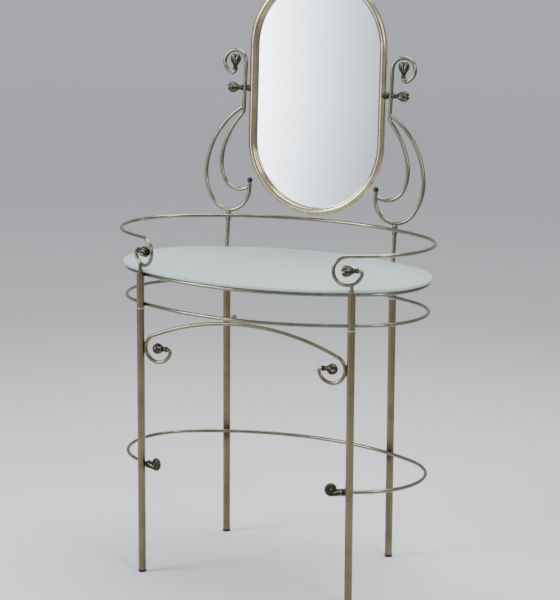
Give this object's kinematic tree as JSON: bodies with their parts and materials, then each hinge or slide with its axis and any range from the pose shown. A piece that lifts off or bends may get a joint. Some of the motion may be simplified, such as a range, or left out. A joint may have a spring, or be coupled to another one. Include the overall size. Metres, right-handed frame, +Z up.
{
  "type": "vanity table with tilting mirror",
  "caption": "Oval glass-topped metal dressing table on tube legs, with an open gallery rail, scrolled finials and a long round-ended mirror that tilts between curved supports.",
  "frame": {"origin": "on the floor, under the middle of the whole object's bounding box", "axes": "+Z up, -Y towards the person seated at the table, +X to that person's right"},
  "size_m": [0.817, 0.5064, 1.4659],
  "materials": {
    "antique_brass_frame": "brushed antique brass over steel, semi-gloss",
    "dark_bronze_castings": "blackened bronze with rubbed light flecks",
    "bare_steel": "zinc plated",
    "black_plastic": "matte moulded",
    "frosted_glass": "acid-etched frosted, polished edge",
    "clear_plastic": "clear soft moulded",
    "mirror_silver": "silvered",
    "antique_brass_mirror_frame": "antique brass, glossy lacquer",
    "hardboard": "brown hardboard, smooth"
  },
  "bodies": {
    "frame": {"apron_arch": "antique_brass_frame", "back_left_leg": "antique_brass_frame", "back_left_post": "antique_brass_frame", "back_left_upper_leg": "antique_brass_frame", "back_right_leg": "antique_brass_frame", "back_right_post": "antique_brass_frame", "back_right_upper_leg": "antique_brass_frame", "foot_glides": "black_plastic", "front_left_leg": "antique_brass_frame", "front_left_post": "antique_brass_frame", "front_left_upper_leg": "antique_brass_frame", "front_right_leg": "antique_brass_frame", "front_right_post": "antique_brass_frame", "front_right_upper_leg": "antique_brass_frame", "front_ring_tab": "antique_brass_frame", "gallery_rail": "antique_brass_frame", "glass_pads": "clear_plastic", "glass_support_ring": "antique_brass_frame", "glass_top": "frosted_glass", "left_arch_finial": "dark_bronze_castings", "left_bow_tip_ball": "dark_bronze_castings", "left_gallery_finial": "dark_bronze_castings", "left_mirror_post": "antique_brass_frame", "left_stretcher_end": "dark_bronze_castings", "left_support_bow": "antique_brass_frame", "left_support_finial": "dark_bronze_castings", "left_support_socket": "antique_brass_frame", "left_support_spigot": "bare_steel", "leg_joint_inserts": "bare_steel", "leg_joint_studs": "bare_steel", "leg_top_caps": "antique_brass_frame", "lower_ring": "antique_brass_frame", "right_arch_finial": "dark_bronze_castings", "right_bow_tip_ball": "dark_bronze_castings", "right_gallery_finial": "dark_bronze_castings", "right_mirror_post": "antique_brass_frame", "right_stretcher_end": "dark_bronze_castings", "right_support_bow": "antique_brass_frame", "right_support_finial": "dark_bronze_castings", "right_support_socket": "antique_brass_frame", "right_support_spigot": "bare_steel", "stretcher": "antique_brass_frame"},
    "mirror": {"mirror_frame": "antique_brass_mirror_frame", "mirror_glass": "mirror_silver", "mirror_backing_board": "hardboard", "clip_weld_nuts": "bare_steel", "backing_clips": "bare_steel", "clip_screws": "bare_steel", "pivot_nuts": "bare_steel", "left_pivot_spacer": "black_plastic", "right_pivot_spacer": "black_plastic"},
    "left_knob": {"left_pivot_knob": "dark_bronze_castings", "left_pivot_bolt": "bare_steel"},
    "right_knob": {"right_pivot_knob": "dark_bronze_castings", "right_pivot_bolt": "bare_steel"}
  },
  "joints": [
    {"name": "mirror_tilt", "type": "hinge", "parent": "frame", "child": "mirror", "pos_m": [0, 0.22345, 1.16972], "axis": [1, 0, 0], "continuous": true},
    {"name": "left_knob_turn", "type": "hinge", "parent": "frame", "child": "left_knob", "pos_m": [-0.225, 0.22345, 1.16972], "axis": [1, 0, 0], "continuous": true},
    {"name": "right_knob_turn", "type": "hinge", "parent": "frame", "child": "right_knob", "pos_m": [0.225, 0.22345, 1.16972], "axis": [1, 0, 0], "continuous": true}
  ]
}
